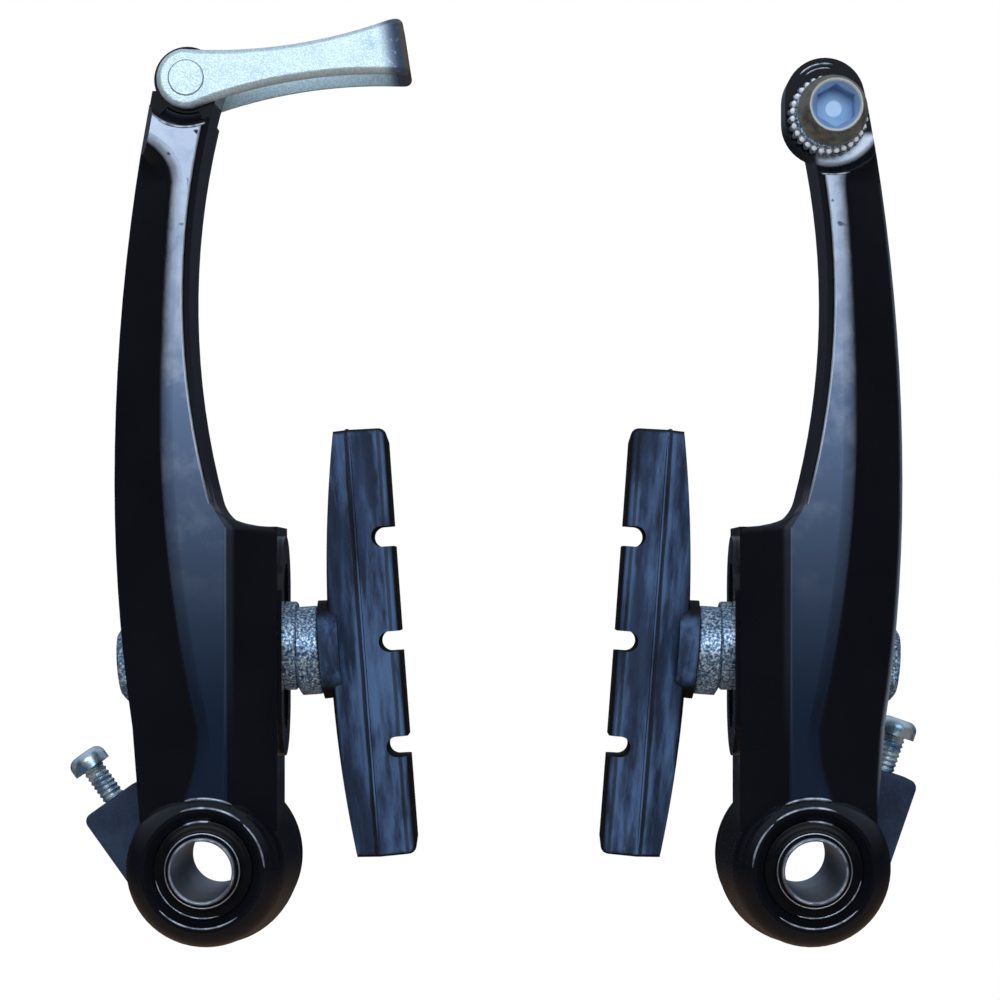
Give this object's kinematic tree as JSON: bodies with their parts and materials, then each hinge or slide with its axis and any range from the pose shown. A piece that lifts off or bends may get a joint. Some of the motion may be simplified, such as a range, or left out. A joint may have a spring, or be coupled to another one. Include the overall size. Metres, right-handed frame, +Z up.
{
  "type": "v brake",
  "caption": "Linear-pull bicycle rim brake: sprung pivoting arms with rubber pads on dished washers, a cable link on one arm and a cable clamp bolt on the other.",
  "frame": {"origin": "midway between the two pivot axes, in the mounting plane at the back ends of the pivot sleeves", "axes": "+Z up along the arms, +X towards the arm with the cable clamp bolt, the front of the brake faces -Y"},
  "size_m": [0.1196, 0.0281, 0.1268],
  "materials": {
    "arm_paint": "gloss black",
    "bush_plastic": "black",
    "sleeve_steel": "turned",
    "housing_plastic": "matte black",
    "spring_steel": "drawn wire",
    "zinc_steel": "bright zinc plate",
    "dark_steel": "dark oxide",
    "pad_rubber": "matte moulded"
  },
  "bodies": {
    "frame_mounts": {"left_pivot_sleeve": "sleeve_steel", "left_spring_housing": "housing_plastic", "right_pivot_sleeve": "sleeve_steel", "right_spring_housing": "housing_plastic"},
    "left_lever": {"left_arm": "arm_paint", "left_pivot_bush": "bush_plastic", "left_return_spring": "spring_steel", "link_rivet": "zinc_steel"},
    "right_lever": {"right_arm": "arm_paint", "right_pivot_bush": "bush_plastic", "right_return_spring": "spring_steel"},
    "cable_link": {"noodle_link": "zinc_steel"},
    "cable_anchor": {"anchor_bolt": "dark_steel", "anchor_washer": "zinc_steel"},
    "left_screw": {"left_tension_screw": "zinc_steel"},
    "left_washers": {"left_inner_cup_washer": "zinc_steel", "left_inner_dome_washer": "zinc_steel", "left_outer_cup_washer": "zinc_steel", "left_outer_dome_washer": "zinc_steel", "left_flat_washer": "zinc_steel"},
    "left_pad": {"left_pad_block": "pad_rubber", "left_pad_post": "zinc_steel", "left_pad_nut": "zinc_steel"},
    "right_screw": {"right_tension_screw": "zinc_steel"},
    "right_washers": {"right_inner_cup_washer": "zinc_steel", "right_inner_dome_washer": "zinc_steel", "right_outer_cup_washer": "zinc_steel", "right_outer_dome_washer": "zinc_steel", "right_flat_washer": "zinc_steel"},
    "right_pad": {"right_pad_block": "pad_rubber", "right_pad_post": "zinc_steel", "right_pad_nut": "zinc_steel"}
  },
  "joints": [
    {"name": "left_arm_pivot", "type": "hinge", "parent": "frame_mounts", "child": "left_lever", "pos_m": [-0.041, 0, 0], "axis": [0, 1, 0], "range_deg": [-10, 12], "stiffness_Nm_per_rad": 0.6, "deforming": ["left_return_spring"]},
    {"name": "left_pad_height", "type": "slide", "parent": "left_lever", "child": "left_washers", "axis": [0, 0, 1], "range_m": [-0.004, 0.008]},
    {"name": "left_pad_swivel", "type": "hinge", "parent": "left_washers", "child": "left_pad", "pos_m": [-0.0307, -0.0127, 0.029], "axis": [0.9973, 0, 0.0732], "continuous": true},
    {"name": "left_spring_tension", "type": "slide", "parent": "frame_mounts", "child": "left_screw", "axis": [-0.5807, 0, 0.8141], "range_m": [-0.002, 0.003], "deforming": ["left_return_spring"]},
    {"name": "right_arm_pivot", "type": "hinge", "parent": "frame_mounts", "child": "right_lever", "pos_m": [0.041, 0, 0], "axis": [0, -1, 0], "range_deg": [-10, 12], "stiffness_Nm_per_rad": 0.6, "deforming": ["right_return_spring"]},
    {"name": "right_pad_height", "type": "slide", "parent": "right_lever", "child": "right_washers", "axis": [0, 0, 1], "range_m": [-0.004, 0.008]},
    {"name": "right_pad_swivel", "type": "hinge", "parent": "right_washers", "child": "right_pad", "pos_m": [0.0307, -0.0127, 0.029], "axis": [-0.9973, 0, 0.0732], "continuous": true},
    {"name": "right_spring_tension", "type": "slide", "parent": "frame_mounts", "child": "right_screw", "axis": [0.3256, 0, 0.9455], "range_m": [-0.002, 0.003], "deforming": ["right_return_spring"]},
    {"name": "link_pivot", "type": "hinge", "parent": "left_lever", "child": "cable_link", "pos_m": [-0.0435, 0, 0.1067], "axis": [0, 1, 0], "range_deg": [-120, 25]},
    {"name": "cable_clamp", "type": "slide", "parent": "right_lever", "child": "cable_anchor", "axis": [0, -1, 0], "range_m": [0, 0.003]}
  ]
}
